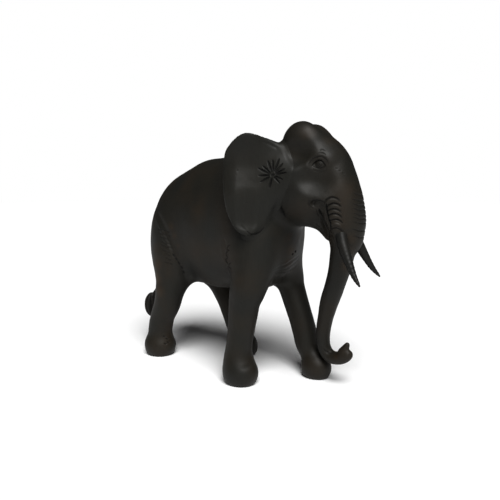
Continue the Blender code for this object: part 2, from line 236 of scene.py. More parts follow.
# ------------------------------------------------------------------ turning a field into a skin
def grid_net(fn, lo, hi, h):
    """Dual surface of fn = 0 on a grid; only blocks near the surface are measured."""
    lo = np.array(lo, float); hi = np.array(hi, float)
    B = 6
    n = (np.ceil((hi - lo) / h / B).astype(int)) * B
    shape = tuple(n + 1)
    val = np.full(shape, 1e3, F32)
    nb = n // B
    ci = np.stack(np.meshgrid(*[np.arange(k) for k in nb], indexing="ij"), -1).reshape(-1, 3)
    cen = (lo + (ci + 0.5) * B * h).astype(F32)
    d = fn(cen)
    act = ci[np.abs(d) < B * h * 0.95 + 4]
    sign_far = np.where(d < 0, -1e3, 1e3)
    val = np.full(shape, 1e3, F32)
    for (i, j, k), s in zip(ci[d < 0], sign_far[d < 0]):
        val[i * B:i * B + B + 1, j * B:j * B + B + 1, k * B:k * B + B + 1] = -1e3
    o = np.stack(np.meshgrid(*[np.arange(B + 1)] * 3, indexing="ij"), -1).reshape(-1, 3)
    idx = (act[:, None, :] * B + o[None]).reshape(-1, 3)
    flat = np.unique(np.ravel_multi_index(idx.T, shape))
    g = np.stack(np.unravel_index(flat, shape), 1)
    v = np.empty(len(flat), F32)
    for a in range(0, len(flat), 400000):
        v[a:a + 400000] = fn((lo + g[a:a + 400000] * h).astype(F32))
    val.ravel()[flat] = v
    s = val < 0
    # cells with a change of sign
    c = [s[x:x + n[0], y:y + n[1], z:z + n[2]] for x in (0, 1) for y in (0, 1) for z in (0, 1)]
    anyc = np.zeros_like(c[0]); allc = np.ones_like(c[0])
    for q in c: anyc |= q; allc &= q
    cell = np.argwhere(anyc & ~allc)
    cid = np.full(tuple(n), -1, np.int64); cid[tuple(cell.T)] = np.arange(len(cell))
    acc = np.zeros((len(cell), 3)); cnt = np.zeros(len(cell))
    corners = [(x, y, z) for x in (0, 1) for y in (0, 1) for z in (0, 1)]
    cv = {q: val[tuple((cell + q).T)] for q in corners}
    for a in corners:
        for ax in range(3):
            if a[ax] == 0:
                b = list(a); b[ax] = 1; b = tuple(b)
                va, vb = cv[a], cv[b]
                m = (va < 0) != (vb < 0)
                t = np.clip(va[m] / (va[m] - vb[m]), 0, 1)
                p = np.array(a, float)[None] + np.zeros((m.sum(), 3)); p[:, ax] += t
                acc[m] += p; cnt[m] += 1
    verts = lo + (cell + acc / cnt[:, None]) * h
    quads = []
    for ax in range(3):
        u, w = (ax + 1) % 3, (ax + 2) % 3
        sl0 = [slice(None)] * 3; sl1 = [slice(None)] * 3
        sl0[ax] = slice(0, n[ax]); sl1[ax] = slice(1, n[ax] + 1)
        for q in (u, w):
            sl0[q] = slice(1, n[q]); sl1[q] = slice(1, n[q])
        a, b = s[tuple(sl0)], s[tuple(sl1)]
        e = np.argwhere(a != b)
        inside_first = a[tuple(e.T)]
        e[:, u] += 1; e[:, w] += 1
        def cellat(du, dw):
            q = e.copy(); q[:, u] -= du; q[:, w] -= dw
            return cid[tuple(q.T)]
        q = np.stack([cellat(1, 1), cellat(0, 1), cellat(0, 0), cellat(1, 0)], 1)
        q[~inside_first] = q[~inside_first][:, ::-1]
        quads.append(q)
    q = np.vstack(quads)
    d1 = np.linalg.norm(verts[q[:, 0]] - verts[q[:, 2]], axis=1); d2 = np.linalg.norm(verts[q[:, 1]] - verts[q[:, 3]], axis=1)
    m = d1 <= d2
    tris = np.vstack([q[m][:, [0, 1, 2]], q[m][:, [0, 2, 3]], q[~m][:, [1, 2, 3]], q[~m][:, [1, 3, 0]]])
    return verts, tris


def gradient(fn, P, e=0.35):
    P = P.astype(F32)
    g = np.empty((len(P), 3), F32)
    k = np.array([[1, -1, -1], [-1, -1, 1], [-1, 1, -1], [1, 1, 1]], F32)
    g[:] = 0
    for q in k: g += q * fn(P + q * e)[:, None]
    return g / (4 * e)


def project(fn, P, rounds=2, lim=1.2):
    for _ in range(rounds):
        d = fn(P.astype(F32)); g = gradient(fn, P); gg = (g * g).sum(1) + 1e-6
        st = np.clip(d / np.sqrt(gg), -lim, lim)
        P = P - (st / np.sqrt(gg))[:, None] * g
    return P


def relax(P, T, w=0.5):
    E = np.vstack([T[:, [0, 1]], T[:, [1, 2]], T[:, [2, 0]]])
    acc = np.zeros_like(P); cnt = np.zeros(len(P))
    for a, b in ((0, 1), (1, 0)):
        for i in range(3): acc[:, i] += np.bincount(E[:, a], P[E[:, b], i], len(P))
        cnt += np.bincount(E[:, a], minlength=len(P))
    return P + w * (acc / np.maximum(cnt, 1)[:, None] - P)


def tangent_relax(fn, P, T, w=0.5):
    Q = relax(P, T, w) - P
    g = gradient(fn, P); g /= np.linalg.norm(g, axis=1)[:, None] + 1e-9
    return P + Q - (Q * g).sum(1)[:, None] * g


def refine(P, T, size):
    """Split every edge longer than size(midpoint); neighbours stay joined."""
    E = np.sort(np.vstack([T[:, [0, 1]], T[:, [1, 2]], T[:, [2, 0]]]), 1)
    U, inv = np.unique(E, axis=0, return_inverse=True); inv = inv.reshape(3, -1).T
    mid = (P[U[:, 0]] + P[U[:, 1]]) / 2; ln = np.linalg.norm(P[U[:, 0]] - P[U[:, 1]], axis=1)
    cut = ln > size(mid) * 1.34
    if not cut.any(): return P, T, False
    nid = np.full(len(U), -1); nid[cut] = len(P) + np.arange(cut.sum())
    P = np.vstack([P, mid[cut]])
    m = nid[inv]; k = (m >= 0)
    n = k.sum(1); out = [T[n == 0]]
    for i in range(3):
        j, l = (i + 1) % 3, (i + 2) % 3
        q = (n == 1) & k[:, i]                        # edge i joins corner i and i+1
        t, x = T[q], m[q, i]
        out += [np.stack([t[:, i], x, t[:, l]], 1), np.stack([x, t[:, j], t[:, l]], 1)]
        q = (n == 2) & ~k[:, i]                       # edges j and l are cut
        t, x, y = T[q], m[q, j], m[q, l]
        out += [np.stack([x, t[:, l], y], 1), np.stack([t[:, i], t[:, j], x], 1), np.stack([t[:, i], x, y], 1)]
    q = n == 3; t = T[q]; a, b, c = m[q].T
    out += [np.stack([t[:, 0], a, c], 1), np.stack([a, t[:, 1], b], 1), np.stack([c, b, t[:, 2]], 1), np.stack([a, b, c], 1)]
    return P, np.vstack(out), True


def skin(fn, lo, hi, h, size, rounds=4):
    P, T = grid_net(fn, lo, hi, h)
    P = project(fn, P, 2)
    for _ in range(2): P = project(fn, tangent_relax(fn, P, T), 1)
    for _ in range(rounds):
        P, T, more = refine(P, T, size)
        if not more: break
        P = project(fn, P, 1)
    P = project(fn, tangent_relax(fn, P, T, 0.35), 2)
    return P, T


def to_row(P):
    return np.stack([(P[:, 1] + SHIFT[0]), (-P[:, 0] + SHIFT[1]), P[:, 2]], 1) * 0.001


def make_object(name, P, T, mat):
    me = bpy.data.meshes.new(name)
    me.vertices.add(len(P)); me.vertices.foreach_set("co", to_row(P).astype(F32).ravel())
    me.loops.add(len(T) * 3); me.loops.foreach_set("vertex_index", T.astype(np.int32).ravel())
    me.polygons.add(len(T)); me.polygons.foreach_set("loop_start", np.arange(len(T), dtype=np.int32) * 3)
    me.polygons.foreach_set("loop_total", np.full(len(T), 3, np.int32))
    me.polygons.foreach_set("use_smooth", np.ones(len(T), bool))
    me.update(calc_edges=True); me.validate()
    me.materials.append(mat)
    ob = bpy.data.objects.new(name, me)
    bpy.context.scene.collection.objects.link(ob)
    return ob


# ------------------------------------------------------------------ inlaid pieces
OUT = [(-9, 20), (-4, 31.5), (4, 36.3), (11, 38.9), (19.6, 41.2), (27, 40.7), (34, 36.8), (41, 30.7), (45, 25),
       (46.4, 17.5), (46.6, 9), (46.3, 0), (45.6, -8), (44.4, -16.5), (42.8, -24.5), (40.0, -32), (35, -40.2),
       (29, -44.9), (21.6, -46.4), (15.6, -42.6), (10.5, -37), (6.5, -31), (3, -24.5), (-0.5, -17), (-4, -9), (-9, 1),
       (-12, 10)]
OUTS = spl(np.array(OUT + [OUT[0]]), 3)[:-1]
for _f in (0.5, -0.53) * 9: OUTS = OUTS + _f * ((np.roll(OUTS, 1, 0) + np.roll(OUTS, -1, 0)) / 2 - OUTS)
_pr = spl([(-50, 4.4), (-43, 2.9), (-36, 0.9), (-28, 0.6), (-18, 1.3), (-8, 1.1), (2, -1.2), (14, -3.6), (26, -2.2), (36, 1.6), (43, 5.0), (50, 9.0)], 8)
EARS = {-1: (np.array([103.0, -29.0, 190.0]), 213.0), 1: (np.array([92.5, 31.0, 190.0]), 148.0)}


def poly_sd(a, b, p):
    d = np.full(len(a), 1e9); ins = np.zeros(len(a), bool); n = len(p)
    for i in range(n):
        x0, y0 = p[i]; x1, y1 = p[(i + 1) % n]
        ex, ey = x1 - x0, y1 - y0; wx, wy = a - x0, b - y0
        t = np.clip((wx * ex + wy * ey) / (ex * ex + ey * ey), 0, 1)
        d = np.minimum(d, (wx - ex * t) ** 2 + (wy - ey * t) ** 2)
        ins ^= ((y0 > b) != (y1 > b)) & (a < (x1 - x0) * (b - y0) / (y1 - y0 + 1e-12) + x0)
    return (np.sqrt(d) * np.where(ins, -1, 1)).astype(F32)


def ear_axes(s):
    O, ang = EARS[s]; t = math.radians(ang)
    ea = np.array([math.cos(t), math.sin(t), 0]); en = np.array([-math.sin(t), math.cos(t), 0])
    if en[1] * s < 0: en = -en
    return O, ea, en


def ear_shape(a, b, s=-1):
    """How far the blade stands out of its own flat plane, and its half-thickness."""
    rho = ((a - 20) / 27) ** 2 + (b / 46) ** 2
    th = 2.2 - 0.7 * np.clip(rho, 0, 1)
    f = np.interp(b, _pr[:, 0], _pr[:, 1])
    g = f + 6.0 * ((a - 20) / 27) ** 2
    g = g - 7.5 * np.clip((a - 33) / 13, 0, 1.3) ** 1.5          # rear rim rolls back behind the crease
    # in front of the dish the face of the ear runs level into the side of the head
    u = np.clip((20 - a) / 32, 0, 1.1)
    lift = (3.2 if s > 0 else 0.0) * np.clip((8 - a) / 16, 0, 1)
    face = (f + 2.1) * (1 - u) + u * (1.6 - 3.0 * (b / 20) ** 2) + lift
    w = np.clip((20 - a) / 10, 0, 1); w = w * w * (3 - 2 * w)
    th = th + 1.6 * np.clip((9 - a) / 16, 0, 1)
    g = g * (1 - w) + (face - th) * w
    return g, th


def ear_blade(P, s):
    O, ea, en = ear_axes(s)

    def f(p):
        q = p - O.astype(F32); a = q @ ea.astype(F32); b = q[:, 2]; n = q @ en.astype(F32)
        sd = poly_sd(a, b, OUTS)
        g, th = ear_shape(a, b, s)
        return smax((np.abs(n - g) - th) * 0.85, sd, 2.6)
    lo = np.minimum(O - ea * 12, O + ea * 48) - 16; hi = np.maximum(O - ea * 12, O + ea * 48) + 16
    lo[2], hi[2] = 138, 236
    return masked(P, lo, hi, 6, f)


def ear_with_root(P, s):
    """Blade melted into the side of the head; its feathered edge dips under the head's own skin."""
    P = P.astype(F32)
    b = body(P); bl = ear_blade(P, s)
    x = np.minimum(bl - b, 50)
    u = smin(b, bl, 7.0) + 0.07 * np.clip(x - 4.0, 0, 6) ** 2
    u = smax(u, -(b + 2.2), 0.5)
    return smax(u, x - 8.5, 0.5)


def tusk(P, s):
    L = [(34, 13.0, 158, 4.4), (38.0, 13.6, 151.5, 4.7), (40.5, 14.7, 147.9, 4.7), (43.0, 17.0, 139.8, 4.6),
         (46.6, 19.4, 131.9, 4.2), (51.2, 22.0, 122.6, 3.3), (56.7, 24.8, 113.0, 2.1), (62.2, 27.4, 106.0, 0.9)]
    B = h2b([(x, s * y, z) for x, y, z, r in L])
    return chain(P, np.hstack([B, np.array([[r] for *_, r in L])]), 3, 1.0)


TAIL = [(-80, 0, 161.5, 3.9), (-87.8, 0.2, 153, 3.8), (-90.5, 1, 138, 3.2), (-91.5, 1, 120, 2.9), (-91.5, 0.5, 100, 2.5),
        (-92, -1.5, 84, 2.3), (-94.5, -6.5, 69, 2.3), (-98.5, -11.8, 58, 2.8)]


def tail(P):
    d = chain(P, TAIL, 3, 1)
    q = P - V(-101, -14.5, 47)
    ang = np.arctan2(q[:, 1], q[:, 0]); h = q[:, 2]
    w = np.clip(1 - (h / 14.5) ** 2, 0, 1) ** 0.62
    r = np.hypot(q[:, 0] / 0.78, q[:, 1])
    leaf = (r - 7.6 * w * (1 + 0.055 * np.cos(7 * ang + 0.6 + 0.05 * h))) * 0.7
    leaf = np.maximum(leaf, np.abs(h) - 14.2)
    return smin(d, leaf.astype(F32), 3)


# ------------------------------------------------------------------ camera, in the carving's own grid
CAM_B = np.array([384.2, -361.5, 184.0])
PITCH = math.radians(7.0)
_R = np.array([math.cos(math.radians(43)), math.sin(math.radians(43)), 0.0])
_A = np.array([-math.sin(math.radians(43)), math.cos(math.radians(43)), 0.0])


def view_ray(u, v):
    """Direction through a point of the 500 x 500 picture."""
    a, b = (u - 250) / 500.0, (v - 250) / 500.0
    d = _R * a + _A * (math.cos(PITCH) - b * math.sin(PITCH)) + np.array([0, 0, -math.sin(PITCH) - b * math.cos(PITCH)])
    return d / np.linalg.norm(d)


def land(fn, uv):
    """Where marks laid out in the camera's view fall on the wood."""
    D = np.array([view_ray(u, v) for u, v in uv]); t = np.full(len(D), 300.0)
    for _ in range(90):
        d = fn((CAM_B + D * t[:, None]).astype(F32))
        t += np.clip(d, -2, 60) * 0.8
    return CAM_B + D * t[:, None]


# ------------------------------------------------------------------ knife and gouge work
# Marks are laid out as they are seen from the camera, dropped onto the wood along the line of sight,
# and the ones on the head are mirrored to its far side. A mark is (points, half-width, depth, shape, shade):
# positive depth cuts in, negative raises a ridge; shape "v" is a knife cut, "u" a gouge, "s" a soft hollow; shade is
# how much painted shade darkens the colour in the cut.
def densify(S, step=0.28):
    d = np.r_[0, np.cumsum(np.linalg.norm(np.diff(S, axis=0), axis=1))]
    n = max(int(d[-1] / step), 2); t = np.linspace(0, d[-1], n)
    return np.stack([np.interp(t, d, S[:, i]) for i in range(S.shape[1])], 1), t / max(d[-1], 1e-6)


def mirror_head(P):
    h = b2h(np.asarray(P, float)); h[:, 1] *= -1
    return h2b(h)


def mirror_torso(P):
    Q = np.array(P, float); Q[:, 1] *= -1
    return Q


def settle(fn, P): return project(fn, np.asarray(P, float), 8, 3.0)


def shape_mark(S, t, w, d, shape, shade, taper):
    e = np.ones(len(t))
    if taper[0]: e = np.minimum(e, np.clip(t / taper[0], 0, 1))
    if taper[1]: e = np.minimum(e, np.clip((1 - t) / taper[1], 0, 1))
    e = np.sqrt(e * (2 - e))
    return S, w * (0.25 + 0.75 * e), d * (0.05 + 0.95 * e), shape, shade


def apply_marks(P, N, marks):
    cut = np.zeros(len(P)); lift = np.zeros(len(P)); soft = np.zeros(len(P)); painted_shade = np.zeros(len(P))
    Pf = P.astype(F32)
    for S, w, d, shape, shade in marks:
        r = float(w.max()) * 1.05
        if r > 1.4: S, w, d = S[::3], w[::3], d[::3]
        k = np.where(((Pf >= (S.min(0) - r).astype(F32)) & (Pf <= (S.max(0) + r).astype(F32))).all(1))[0]
        if not len(k): continue
        Sf = S.astype(F32)
        j = np.empty(len(k), int); dist = np.empty(len(k))
        for a in range(0, len(k), 20000):
            D = ((Pf[k[a:a + 20000], None, :] - Sf[None]) ** 2).sum(2)
            j[a:a + 20000] = D.argmin(1); dist[a:a + 20000] = np.sqrt(D.min(1))
        q = 1 - dist / w[j]
        m = q > 0; k, j, q = k[m], j[m], q[m]
        if shape == "v": p = q * (1 - 0.25 * (1 - q))
        elif shape == "u": p = 1 - (1 - q) ** 2.4
        else: p = q * q * (3 - 2 * q)
        dep = d[j] * p
        if shape == "s": soft[k] += dep
        elif d.max() > 0: cut[k] = np.maximum(cut[k], dep)
        else: lift[k] = np.maximum(lift[k], -dep)
        # painted shade: the colour in and along the cut is darkened by the mark's shade amount
        if shade > 0: painted_shade[k] = np.maximum(painted_shade[k], shade * np.clip(q * 1.6, 0, 1))
    return P - N * (cut + soft - lift)[:, None], painted_shade


class Sizes:
    """Triangle size wanted at each place, on a coarse lattice."""
    def __init__(self, lo, hi, c, base):
        self.lo = np.array(lo, float); self.c = c
        self.n = np.ceil((np.array(hi) - self.lo) / c).astype(int) + 1
        self.a = np.full(self.n, base, F32)

    def box(self, lo, hi, size):
        i = np.maximum(((np.array(lo) - self.lo) / self.c).astype(int), 0); j = np.maximum(((np.array(hi) - self.lo) / self.c).astype(int) + 1, 0)
        v = self.a[i[0]:j[0], i[1]:j[1], i[2]:j[2]]; np.minimum(v, size, out=v)

    def ball(self, c, r, size):
        g = np.stack(np.meshgrid(*[np.arange(k) for k in self.n], indexing="ij"), -1) * self.c + self.lo
        v = ((g - np.array(c)) ** 2).sum(-1) < r * r
        self.a[v] = np.minimum(self.a[v], size)

    def stamp(self, pts, r, size):
        i = np.round((pts - self.lo) / self.c).astype(int); k = int(math.ceil(r / self.c))
        o = np.arange(-k, k + 1); o = np.stack(np.meshgrid(o, o, o, indexing="ij"), -1).reshape(-1, 3)
        o = o[(o * o).sum(1) * self.c ** 2 <= (r + 0.6 * self.c) ** 2]
        q = (i[:, None] + o[None]).reshape(-1, 3); q = np.clip(q, 0, self.n - 1); q = np.unique(q, axis=0)
        t = tuple(q.T); self.a[t] = np.minimum(self.a[t], size)

    def __call__(self, P):
        i = np.clip(np.round((P - self.lo) / self.c).astype(int), 0, self.n - 1)
        return self.a[tuple(i.T)].astype(float)


def near_fn(P): return np.minimum(body(P), ear_with_root(P, -1))
def far_fn(P): return np.minimum(body(P), ear_with_root(P, 1))
def ear_near(P): return ear_with_root(P, -1)
def ear_far(P): return ear_with_root(P, 1)


def to_far_ear(p):
    """A point on the right ear carried to the same place of the left one."""
    O, ea, en = ear_axes(-1); q = p - O; a, b, n = q @ ea, q[:, 2], q @ en
    O, ea, en = ear_axes(1)
    return O + a[:, None] * ea + np.array([0, 0, 1.0]) * b[:, None] + n[:, None] * en


# kind: (surface seen, surface of the mirror image, how it is mirrored)
KINDS = {"head": (body, body, mirror_head), "body": (body, body, mirror_torso), "ring": (body, body, mirror_head),
         "rose": (near_fn, far_fn, to_far_ear), "ear": (ear_near, ear_far, to_far_ear)}
JOBS = []


def on_head(uv, w, d, shape="v", shade=0.0, taper=(0.5, 0.5)): JOBS.append(("head", uv, w, d, shape, shade, taper, True))
def on_rose(uv, w, d, shape="v", shade=0.0, taper=(0.5, 0.5)): JOBS.append(("rose", uv, w, d, shape, shade, taper, True))
def on_ring(uv, w, d, shape="v", shade=0.0, taper=(0.5, 0.5)): JOBS.append(("ring", uv, w, d, shape, shade, taper, False))
def on_ear(uv, w, d, shape="v", shade=0.0, taper=(0.5, 0.5), far=True): JOBS.append(("ear", uv, w, d, shape, shade, taper, far))
def on_body(uv, w, d, shape="v", shade=0.0, taper=(0.5, 0.5), far=True): JOBS.append(("body", uv, w, d, shape, shade, taper, far))


def in_batches(fn_of, items, work):
    """Run work(fn, stacked points) once for every surface and hand the pieces back in order."""
    out = [None] * len(items)
    for fn in {fn_of[i] for i in range(len(items))}:
        ks = [i for i in range(len(items)) if fn_of[i] is fn]
        Q = work(fn, np.vstack([items[i] for i in ks])); n = 0
        for i in ks: out[i] = Q[n:n + len(items[i])]; n += len(items[i])
    return out


def build_marks():
    near = in_batches([KINDS[j[0]][0] for j in JOBS], [np.array(j[1], float) for j in JOBS], land)
    todo = []                                              # (fn, points, job, on the far side)
    for p, j in zip(near, JOBS):
        fn, ffn, mir = KINDS[j[0]]
        if j[0] == "ring":
            q = mir(p)[::-1]; todo.append((fn, np.vstack([p, (p[-1:] + q[:1]) / 2, q]), j, False)); continue
        todo.append((fn, p, j, False))
        if j[7]: todo.append((ffn, mir(p), j, True))
    pts = in_batches([q[0] for q in todo], [q[1] for q in todo], lambda fn, P: project(fn, P, 6, 3.0))
    dense = [densify(spl(p, 6) if len(p) > 2 else p) for p in pts]
    laid = in_batches([q[0] for q in todo], [q[0] for q in dense], lambda fn, P: project(fn, P, 3, 1.5))
    bodyside, ears = [], {-1: [], 1: []}
    for S, (_, t), (_, _, j, far) in zip(laid, dense, todo):
        kind, _, w, d, shape, shade, taper, _ = j
        m = shape_mark(S, t, w, d, shape, shade, taper)
        if kind != "ear": bodyside.append(m)
        if kind in ("ear", "rose"): ears[1 if far else -1].append(m)
    return bodyside, ears


# rosette of gouge cuts where the ear grows out of the head
RC = np.array([272.3, 175.0])
for x, y in ((257.7, 168), (258, 175.8), (260, 182.3), (269.2, 188), (279.6, 183.5), (282.7, 179.6), (286.5, 172.3),
             (284.6, 168.5), (282.7, 163), (279.2, 158.5), (272.7, 159.6), (267.7, 160.4), (262.7, 165.8)):
    d = np.array([x, y]) - RC; L_ = np.hypot(*d)
    on_rose([tuple(RC + d * t) for t in (0.20, 0.45, 0.72, 1.0)], 1.25 if L_ > 12 else 1.1, 1.35, "u", 0.95, (0.35, 0.75))
on_rose([tuple(RC + np.array(o)) for o in ((-2.2, 0.6), (0, 0), (2.0, -0.6))], 1.5, 0.9, "u", 0.8)

# eye: lids, fold, iris and pupil
on_head([(311.2, 166.0), (313.6, 162.0), (317.0, 159.3), (320.6, 158.9), (324.0, 161.3), (327.4, 166.4)], 1.05, -0.55, "u", 0, (0.35, 0.35))
on_head([(312.2, 166.6), (315.5, 168.8), (319.8, 169.5), (323.6, 168.5), (326.8, 166.6)], 0.95, -0.5, "u", 0, (0.4, 0.4))
on_head([(312.6, 165.6), (314.9, 162.6), (317.8, 160.7), (320.6, 160.4), (323.1, 162.2), (325.5, 165.8)], 0.75, 0.75, "v", 0.75, (0.4, 0.4))
on_head([(313.2, 166.2), (316.0, 167.6), (319.8, 168.2), (323.0, 167.2), (325.2, 166.0)], 0.65, 0.6, "v", 0.6, (0.4, 0.4))
on_head([(309.2, 164.0), (312.6, 159.4), (316.8, 157.1), (321.4, 156.7), (325.6, 159.2), (328.9, 163.6)], 0.95, 0.65, "v", 0.45, (0.5, 0.5))
on_head([(316.2, 154.9), (319.6, 152.9), (323.0, 153.0), (326.0, 155.3)], 0.8, 0.6, "v", 0.4)
on_head([(319.4, 150.6), (321.4, 149.4), (323.6, 149.5), (325.4, 151.0)], 0.75, 0.5, "v", 0.35)
on_head([(312.2, 169.6), (316.0, 171.3), (320.2, 171.9), (324.4, 171.0), (327.8, 168.8)], 0.8, 0.35, "v", 0.15)
ang = np.linspace(0, 2 * math.pi, 13)
on_head([(319.4 + 2.15 * math.cos(t), 164.3 + 2.0 * math.sin(t)) for t in ang], 0.5, 0.40, "v", 0.45, (0, 0))
on_head([(319.1, 164.3), (319.4, 164.2), (319.7, 164.3)], 0.75, 0.40, "u", 0.7, (0, 0))

# mouth: two deep grooves meeting at the tip of the lip, and the pouch at its corner
on_head([(319.0, 208.6), (320.4, 213.0), (322.6, 219.0), (326.0, 226.2), (328.6, 232.0), (328.9, 237.5)], 1.55, 2.3, "v", 1.0, (0.22, 0.25))
on_head([(326.6, 203.6), (326.4, 208.0), (327.2, 213.0), (328.6, 218.6), (330.4, 224.0), (330.8, 231.0)], 1.30, 2.0, "v", 1.0, (0.25, 0.35))
on_head([(323.4, 213.5), (325.6, 219.0), (327.9, 224.6), (329.4, 229.6)], 1.1, -0.5, "u", 0)
on_head([(309.4, 199.4), (308.9, 203.4), (310.9, 206.8), (313.6, 208.8)], 1.5, 0.8, "v", 0.45)
on_head([(312.4, 201.6), (315.6, 200.4), (319.6, 200.7), (324.2, 202.4)], 1.15, 0.85, "v", 0.6)
on_head([(314.0, 204.5), (317.0, 204.2), (320.0, 205.2)], 2.6, -0.75, "s", 0)
on_head([(315.8, 208.6), (317.4, 212.6), (319.4, 217.0)], 0.8, 0.5, "v", 0.4)

# loose folds over the root of the tusk
FOLDS = [[(323.9, 203.4), (326.6, 199.6), (331.4, 197.3), (336.8, 198.6), (341.0, 202.6)],
         [(326.8, 207.4), (330.0, 204.6), (334.2, 203.5), (338.2, 204.5), (341.6, 207.6)],
         [(326.9, 212.0), (330.2, 209.8), (334.4, 209.1), (338.6, 210.3), (341.9, 213.2)],
         [(327.5, 216.4), (330.8, 214.4), (335.0, 213.8), (339.0, 215.2), (342.5, 218.4)],
         [(329.0, 221.6), (332.2, 219.9), (336.2, 219.5), (340.0, 220.8), (343.1, 223.8)]]
for q in FOLDS: on_head(q, 1.0, 1.05, "v", 0.75, (0.35, 0.35))
for i in range(4):
    q = [tuple((np.array(FOLDS[i][j]) + np.array(FOLDS[i + 1][j])) / 2) for j in range(5)]
    on_head(q, 2.3, -0.75, "u", 0, (0.45, 0.45))
on_head([(329.6, 225.2), (333.0, 224.2), (337.2, 224.5), (341.4, 227.2), (344.6, 231.0)], 1.3, -0.75, "u", 0, (0.4, 0.4))
on_head([(330.4, 229.4), (334.0, 228.0), (338.4, 228.8), (342.8, 231.8)], 0.9, 0.9, "v", 0.8, (0.4, 0.4))

# jaw edge ticks, and the lower edge of the cheek
for x, y in ((315.6, 224.2), (318.4, 226.2), (320.9, 229.0), (323.0, 232.2)):
    on_head([(x - 1.3, y - 1.0), (x + 0.2, y - 0.3), (x + 1.0, y + 1.0)], 0.7, 0.5, "v", 0.5)

# rings across the front of the trunk
for y, a0, dd in ((194.4, 353.2, 0.5), (200.4, 351.6, 0.75), (205.2, 352.6, 0.6), (209.6, 351.8, 0.75), (214.6, 353.2, 0.5),
                  (218.4, 352.8, 0.6), (222.8, 352.2, 0.65), (230.4, 351.4, 0.6), (237.0, 352.6, 0.45)):
    on_ring([(a0, y - 1.0), (a0 + 3.4, y - 0.6), (359.2, y + 0.6)], 0.85, dd, "v", 0.5, (0.3, 0.3))
for x, y, dd in ((336.8, 168.6, 0.35), (340.0, 171.0, 0.35), (343.6, 173.4, 0.3)):
    on_head([(x - 1.8, y - 0.6), (x, y), (x + 1.8, y - 0.2)], 0.7, dd, "v", 0.3)

# ear: check in the wood, knife marks, and the doubled lower rim
on_ear([(236.9, 163.5), (237.5, 170), (237.8, 177), (237.2, 184), (236.6, 190.5)], 0.55, 0.35, "v", 0.45, (0.3, 0.3))
on_ear([(235.2, 170), (235.6, 174), (235.4, 178)], 0.45, 0.22, "v", 0.2)
on_ear([(244.6, 203.6), (246.4, 202.4), (248.2, 203.4)], 0.6, 0.4, "v", 0.4)
on_ear([(239.0, 214.4), (240.8, 213.6), (242.4, 214.8)], 0.6, 0.4, "v", 0.4)
on_ear([(236.4, 206.6), (238.0, 208.6)], 0.5, 0.3, "v", 0.3)
on_ear([(246.6, 231.0), (250.4, 234.0), (255.6, 234.2), (260.4, 231.8), (264.4, 227.4)], 1.0, 0.7, "v", 0.8, (0.4, 0.4))
on_ear([(238.6, 222.0), (242.0, 227.0), (246.0, 230.4)], 1.2, 0.35, "s", 0.1)
on_ear([(262.0, 141.5), (268.0, 143.5), (274.0, 146.5), (279.0, 148.6)], 1.5, 0.5, "s", 0.1)
on_head([(279.4, 147.2), (283.2, 146.7), (287.2, 147.8)], 1.5, -0.7, "u", 0)
on_head([(279.0, 149.6), (283.4, 149.2), (287.6, 150.4)], 1.3, 0.5, "v", 0.35)
# soft crease behind the jaw, darkened along its length with painted shade
on_head([(276.2, 196.0), (277.6, 203.0), (280.6, 210.0), (285.0, 216.4)], 3.2, 1.3, "s", 0.85, (0.3, 0.5))

# fold of skin between belly and thigh, with rows of small chips behind it
on_body([(157.0, 212.0), (161.6, 222.0), (166.8, 234.0), (172.8, 248.0), (179.0, 262.0), (184.6, 276.0), (188.0, 286.0)], 6.5, 1.1, "s", 0.0, (0.4, 0.2))
on_body([(155.6, 216.5), (160.2, 228.0), (165.0, 240.0), (170.6, 253.0), (176.4, 267.0), (181.0, 280.0)], 3.4, -0.4, "s", 0.0, (0.5, 0.3))
on_body([(163.6, 229.6), (168.0, 240.6), (173.6, 253.0), (179.6, 266.0), (184.8, 279.0)], 1.1, 0.28, "v", 0.3, (0.3, 0.3))
rg = np.random.default_rng(11)
for i, y in enumerate(np.arange(229.5, 263, 4.1)):
    for x in (160.6, 164.0, 167.4):
        x1 = x + 0.20 * (y - 229) + rg.uniform(-0.6, 0.6); y1 = y + rg.uniform(-0.8, 0.8) + (x - 160) * 0.35
        if x1 > 171.5: continue
        L1 = rg.uniform(1.5, 2.4)
        on_body([(x1 - L1, y1 - 0.9), (x1, y1 + 0.1), (x1 + L1, y1 + 0.1)], rg.uniform(0.8, 1.15), rg.uniform(0.22, 0.45), "u", rg.uniform(0.3, 0.55))
for x, y in ((173.4, 255.6), (176.0, 259.4), (178.6, 263.6), (181.4, 267.8), (183.4, 272.4)):
    on_body([(x - 1.2, y - 1.7), (x + 0.2, y), (x + 0.9, y + 1.8)], 1.2, 0.6, "u", 0.8)
# crescent chips where the fore leg meets the belly
for x, y, r in ((228.2, 247.6, 3.2), (226.4, 254.0, 2.6), (226.6, 260.4, 3.2), (229.6, 265.4, 2.8)):
    on_body([(x + r * 0.55, y - r), (x - r * 0.35, y - r * 0.35), (x - r * 0.35, y + r * 0.45), (x + r * 0.6, y + r)], 0.95, 0.45, "u", 0.45)
on_body([(224.0, 238.0), (225.6, 248.0), (225.0, 258.0), (228.0, 268.4), (231.0, 276.0)], 4.2, 0.8, "s", 0.0)
on_body([(221.4, 246.2), (222.2, 253.0), (221.8, 259.0)], 2.6, -0.45, "s", 0.0)
# breast: dimples and slack folds
for x, y in ((292.5, 253.8), (295.2, 251.2)):
    on_body([(x - 0.8, y), (x + 0.8, y + 0.2)], 1.15, 0.9, "u", 0.8, far=False)
for k, o in enumerate((0.0, 4.6, 9.0)):
    on_body([(299.0 - o * 0.2, 255.6 + o), (292.0, 260.6 + o), (283.0, 266.4 + o * 0.8), (273.0, 270.4 + o * 0.5)], 2.2, 0.55, "s", 0.12, far=False)
    on_body([(299.4 - o * 0.2, 253.2 + o), (292.0, 258.2 + o), (283.0, 264.0 + o * 0.8), (273.0, 268.0 + o * 0.5)], 1.6, -0.4, "s", 0.0, far=False)
